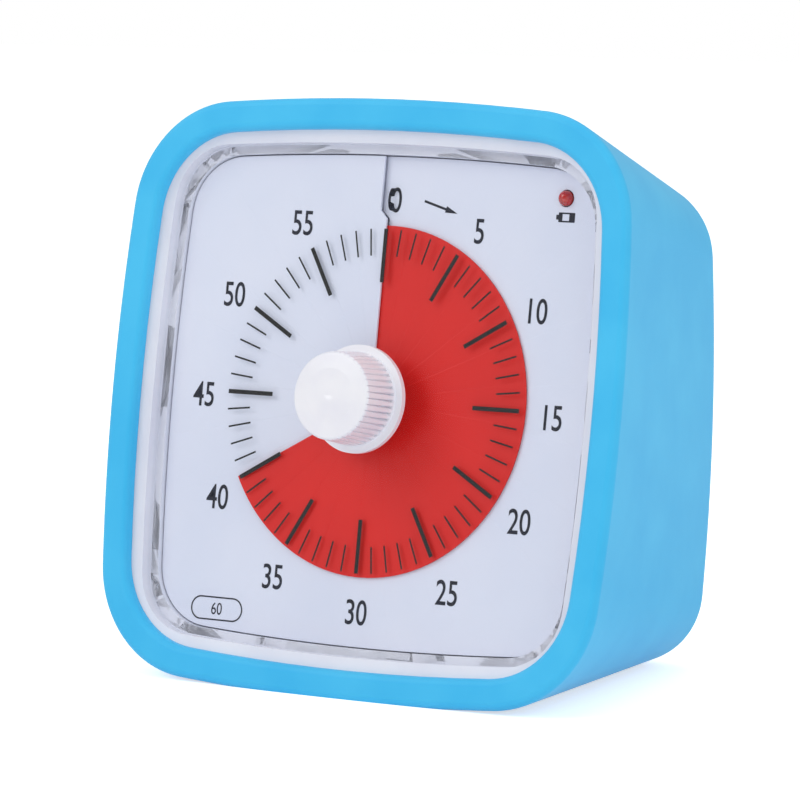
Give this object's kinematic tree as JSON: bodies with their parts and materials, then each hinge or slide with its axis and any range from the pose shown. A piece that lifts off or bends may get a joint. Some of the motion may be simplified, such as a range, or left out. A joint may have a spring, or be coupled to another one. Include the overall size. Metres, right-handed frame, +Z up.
{
  "type": "visual countdown timer",
  "caption": "Cube-shaped visual countdown timer with a soft cover, slit dial, red time disc, turning knob and battery quartz movement.",
  "frame": {"origin": "middle of the object's footprint, on the rest surface", "axes": "+Z up; the dial faces -Y and leans back; +X to the right seen from the front"},
  "size_m": [0.0904, 0.0589, 0.0886],
  "materials": {
    "silicone": "soft satin",
    "white_shell": "satin",
    "white_knob": "satin",
    "card": "matt printed sheet",
    "red_sheet": "matt",
    "clear": "clear",
    "steel": "zinc plated",
    "movement_plastic": "moulded",
    "gear_plastic": "natural acetal",
    "copper": "enamelled wire",
    "magnet": "sintered",
    "board": "solder mask",
    "black_plastic": "moulded",
    "lamp_red": "clear red",
    "cell_jacket": "film"
  },
  "bodies": {
    "root": {"silicone_cover": "silicone", "front_housing": "white_shell", "back_cover": "white_shell", "lens": "clear", "dial_card": "card", "dial_seat": "white_shell", "movement_base": "movement_plastic", "movement_cap": "movement_plastic", "stator": "steel", "coil_core": "steel", "coil_bobbin": "black_plastic", "coil_winding": "copper", "contact_leaf": "steel", "contact_post": "black_plastic", "battery": "cell_jacket", "battery_spring": "steel", "spring_plate": "steel", "battery_plate": "steel", "circuit_board": "board", "timer_chip": "black_plastic", "quartz_crystal": "steel", "sounder": "black_plastic", "switch_body": "steel", "battery_lamp": "lamp_red", "case_screws": "steel", "board_screws": "steel", "movement_screws": "steel"},
    "time_spindle": {"spindle": "steel", "knob": "white_knob", "clutch_spring": "steel", "zero_cam": "gear_plastic"},
    "time_disc": {"red_disc": "red_sheet"},
    "centre_gear": {"centre_wheel": "gear_plastic"},
    "third_gear": {"third_wheel": "gear_plastic"},
    "fourth_gear": {"fourth_wheel": "gear_plastic"},
    "fifth_gear": {"fifth_wheel": "gear_plastic"},
    "motor_rotor": {"rotor": "magnet"},
    "door": {"battery_door": "white_shell"},
    "slide_switch": {"switch_slider": "black_plastic"}
  },
  "joints": [
    {"name": "knob_turn", "type": "hinge", "parent": "root", "child": "time_spindle", "pos_m": [0, -0.02165, 0.0442], "axis": [0, 0.986, -0.1668], "range_deg": [-240, 120]},
    {"name": "disc_climb", "type": "slide", "parent": "time_spindle", "child": "time_disc", "axis": [0, -0.986, 0.1668], "range_m": [-0.00061, 0.00031]},
    {"name": "rotor_turn", "type": "hinge", "parent": "root", "child": "motor_rotor", "pos_m": [-0.01847, -0.02263, 0.0384], "axis": [0, 0.986, -0.1668], "continuous": true},
    {"name": "fifth_turn", "type": "hinge", "parent": "root", "child": "fifth_gear", "pos_m": [-0.01847, -0.02375, 0.03178], "axis": [0, 0.986, -0.1668], "continuous": true},
    {"name": "fourth_turn", "type": "hinge", "parent": "root", "child": "fourth_gear", "pos_m": [-0.01224, -0.02435, 0.02823], "axis": [0, 0.986, -0.1668], "continuous": true},
    {"name": "third_turn", "type": "hinge", "parent": "root", "child": "third_gear", "pos_m": [0, -0.02435, 0.02823], "axis": [0, 0.986, -0.1668], "continuous": true},
    {"name": "centre_turn", "type": "hinge", "parent": "root", "child": "centre_gear", "pos_m": [0, -0.02165, 0.0442], "axis": [0, 0.986, -0.1668], "continuous": true},
    {"name": "door_swing", "type": "hinge", "parent": "root", "child": "door", "pos_m": [0, 0.02581, 0.01662], "axis": [-1, 0, 0], "range_deg": [0, 100]},
    {"name": "switch_slide", "type": "slide", "parent": "root", "child": "slide_switch", "axis": [1, 0, 0], "range_m": [-0.002, 0.002]}
  ],
  "couplings": [
    {"joint": "disc_climb", "follows": "knob_turn", "m_per_rad": 0.00014324},
    {"joint": "fifth_turn", "follows": "rotor_turn", "ratio": -0.16667},
    {"joint": "fourth_turn", "follows": "rotor_turn", "ratio": 0.033333},
    {"joint": "third_turn", "follows": "rotor_turn", "ratio": -0.0044444},
    {"joint": "centre_turn", "follows": "rotor_turn", "ratio": 0.00055556}
  ]
}
